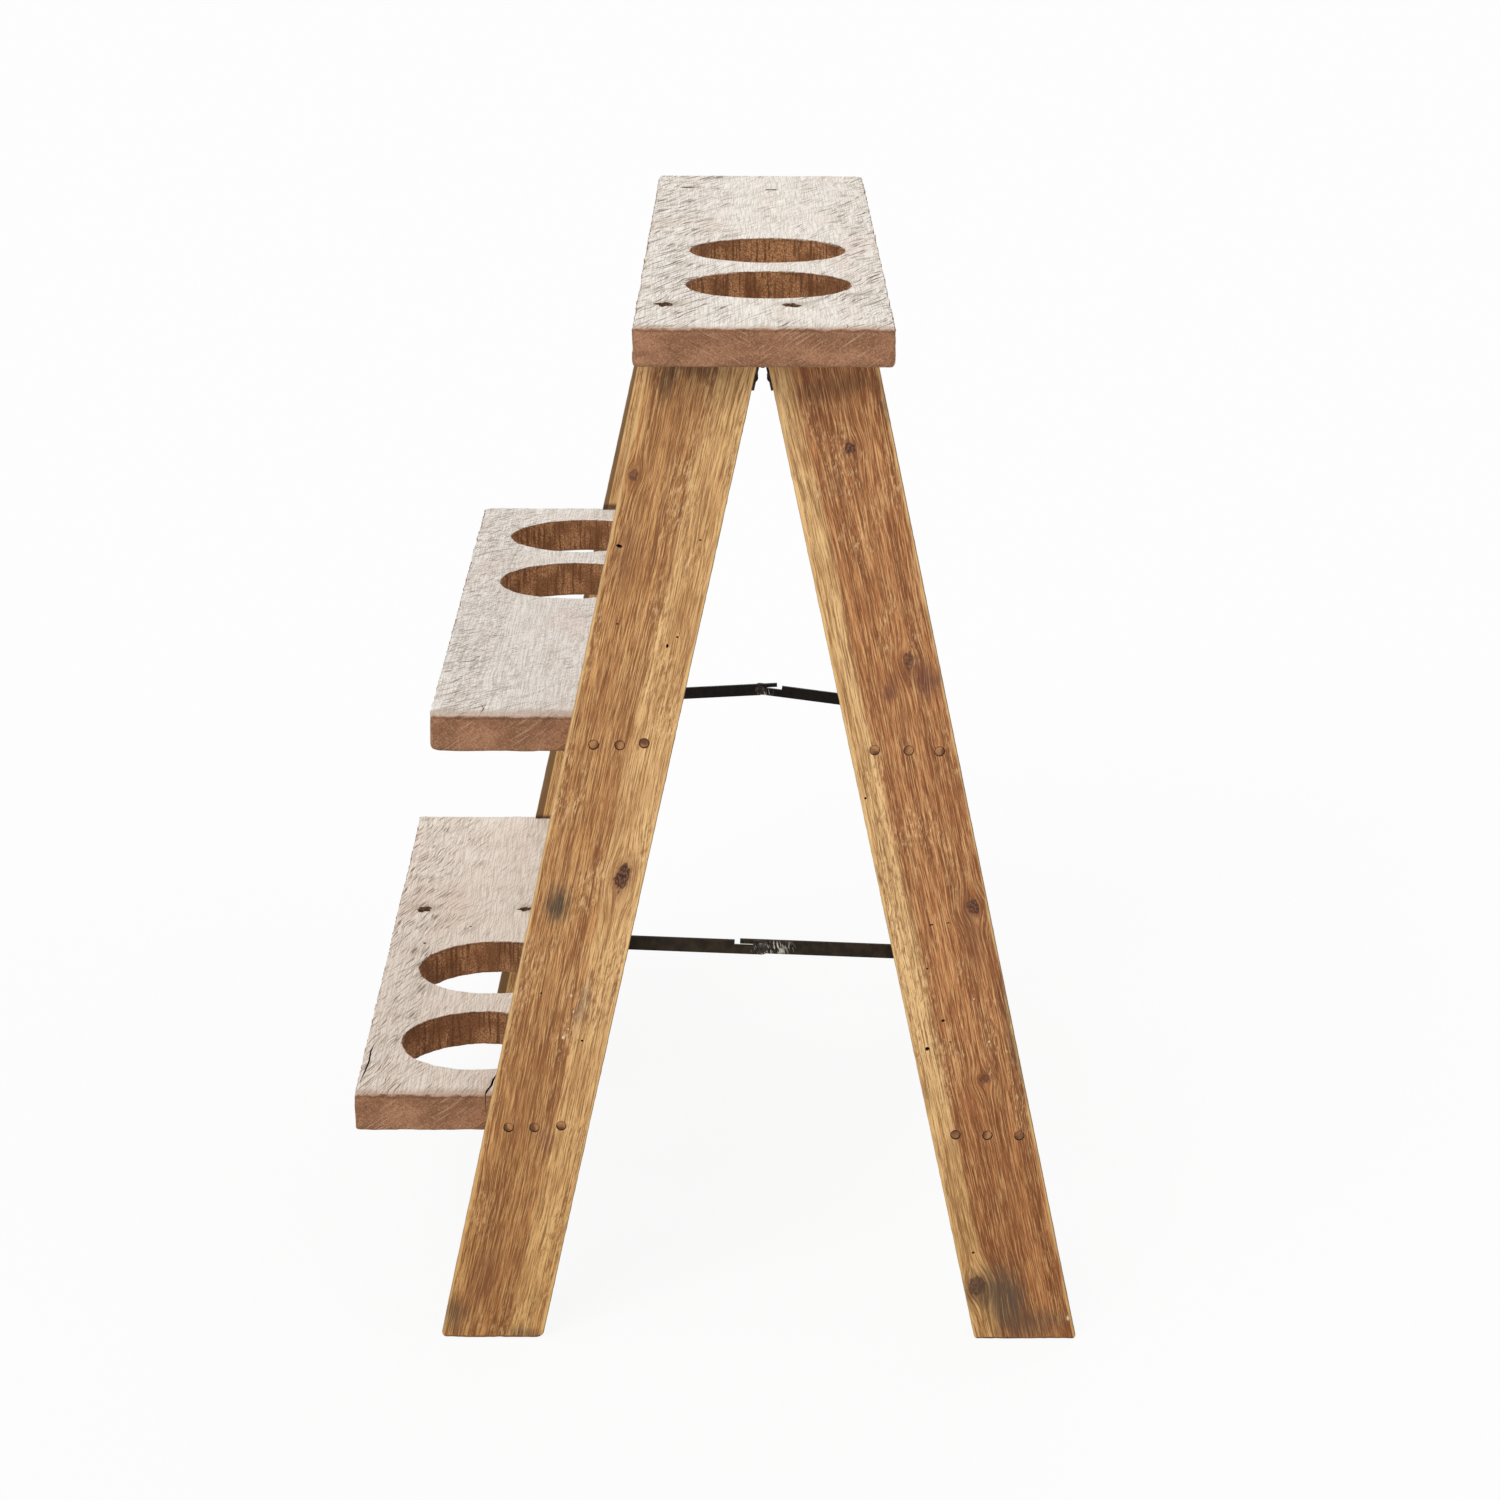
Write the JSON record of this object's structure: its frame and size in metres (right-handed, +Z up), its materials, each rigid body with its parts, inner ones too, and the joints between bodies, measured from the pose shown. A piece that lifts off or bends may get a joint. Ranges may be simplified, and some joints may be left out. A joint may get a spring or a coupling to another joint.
{
  "type": "folding plant ladder stand",
  "caption": "Folding wooden A-frame plant ladder: a top board and two steps with round pot holes, hinged back legs and folding steel stays.",
  "frame": {"origin": "on the floor, under the middle of the open stand's overall box", "axes": "+Z up; +X from the side where the steps stick out to the side of the folding back legs; +Y along the boards, from the right end to the left end"},
  "size_m": [0.6902, 0.945, 0.97],
  "materials": {
    "weathered_plank": "rough sawn, weathered pale grey",
    "front_leg_wood": "oiled reclaimed pine, satin",
    "back_leg_wood": "oiled reclaimed pine, satin",
    "plug_wood": "oiled end grain",
    "dowel_wood": "plain",
    "screw_steel": "zinc plated",
    "hinge_steel": "worn black",
    "pin_steel": "dull",
    "dark_screw_steel": "blackened",
    "stay_black_paint": "worn black paint, satin",
    "rivet_steel": "worn"
  },
  "bodies": {
    "front_frame": {"top_board": "weathered_plank", "middle_step": "weathered_plank", "lower_step": "weathered_plank", "front_leg_right": "front_leg_wood", "front_leg_left": "front_leg_wood", "top_board_dowels": "dowel_wood", "step_screws": "screw_steel", "step_screw_plugs": "plug_wood", "hinge_front_leaf_right": "hinge_steel", "hinge_front_leaf_left": "hinge_steel", "hinge_pins": "pin_steel", "hinge_front_screws": "dark_screw_steel", "front_pivot_screws": "dark_screw_steel", "front_pivot_washers": "dark_screw_steel"},
    "back_frame": {"back_leg_right": "back_leg_wood", "back_leg_left": "back_leg_wood", "upper_back_rail": "back_leg_wood", "lower_back_rail": "back_leg_wood", "rail_screws": "screw_steel", "rail_screw_plugs": "plug_wood", "hinge_back_leaf_right": "hinge_steel", "hinge_back_leaf_left": "hinge_steel", "hinge_back_screws": "dark_screw_steel", "back_pivot_screws": "dark_screw_steel", "back_pivot_washers": "dark_screw_steel"},
    "right_stay_front": {"right_stay_front_bar": "stay_black_paint", "right_stay_front_rivet": "rivet_steel"},
    "right_stay_back": {"right_stay_back_bar": "stay_black_paint", "right_stay_back_rivet": "rivet_steel"},
    "left_stay_front": {"left_stay_front_bar": "stay_black_paint", "left_stay_front_rivet": "rivet_steel"},
    "left_stay_back": {"left_stay_back_bar": "stay_black_paint", "left_stay_back_rivet": "rivet_steel"}
  },
  "joints": [
    {"name": "back_frame_fold", "type": "hinge", "parent": "front_frame", "child": "back_frame", "pos_m": [0.04492, 0, 0.9318], "axis": [0, 1, 0], "range_deg": [0, 24]},
    {"name": "right_stay_front_turn", "type": "hinge", "parent": "front_frame", "child": "right_stay_front", "pos_m": [-0.12402, -0.4045, 0.388], "axis": [0, 1, 0], "range_deg": [-55.4, 0]},
    {"name": "right_stay_back_turn", "type": "hinge", "parent": "back_frame", "child": "right_stay_back", "pos_m": [0.21665, -0.4045, 0.375], "axis": [0, 1, 0], "range_deg": [0, 65.6]},
    {"name": "left_stay_front_turn", "type": "hinge", "parent": "front_frame", "child": "left_stay_front", "pos_m": [-0.12402, 0.4045, 0.388], "axis": [0, 1, 0], "range_deg": [-50.2, 0]},
    {"name": "left_stay_back_turn", "type": "hinge", "parent": "back_frame", "child": "left_stay_back", "pos_m": [0.21665, 0.4045, 0.375], "axis": [0, 1, 0], "range_deg": [0, 60.3]}
  ],
  "couplings": [
    {"joint": "right_stay_front_turn", "follows": "back_frame_fold", "ratio": -2.2894},
    {"joint": "right_stay_back_turn", "follows": "back_frame_fold", "ratio": 2.7121},
    {"joint": "left_stay_front_turn", "follows": "back_frame_fold", "ratio": -2.0694},
    {"joint": "left_stay_back_turn", "follows": "back_frame_fold", "ratio": 2.4921}
  ]
}
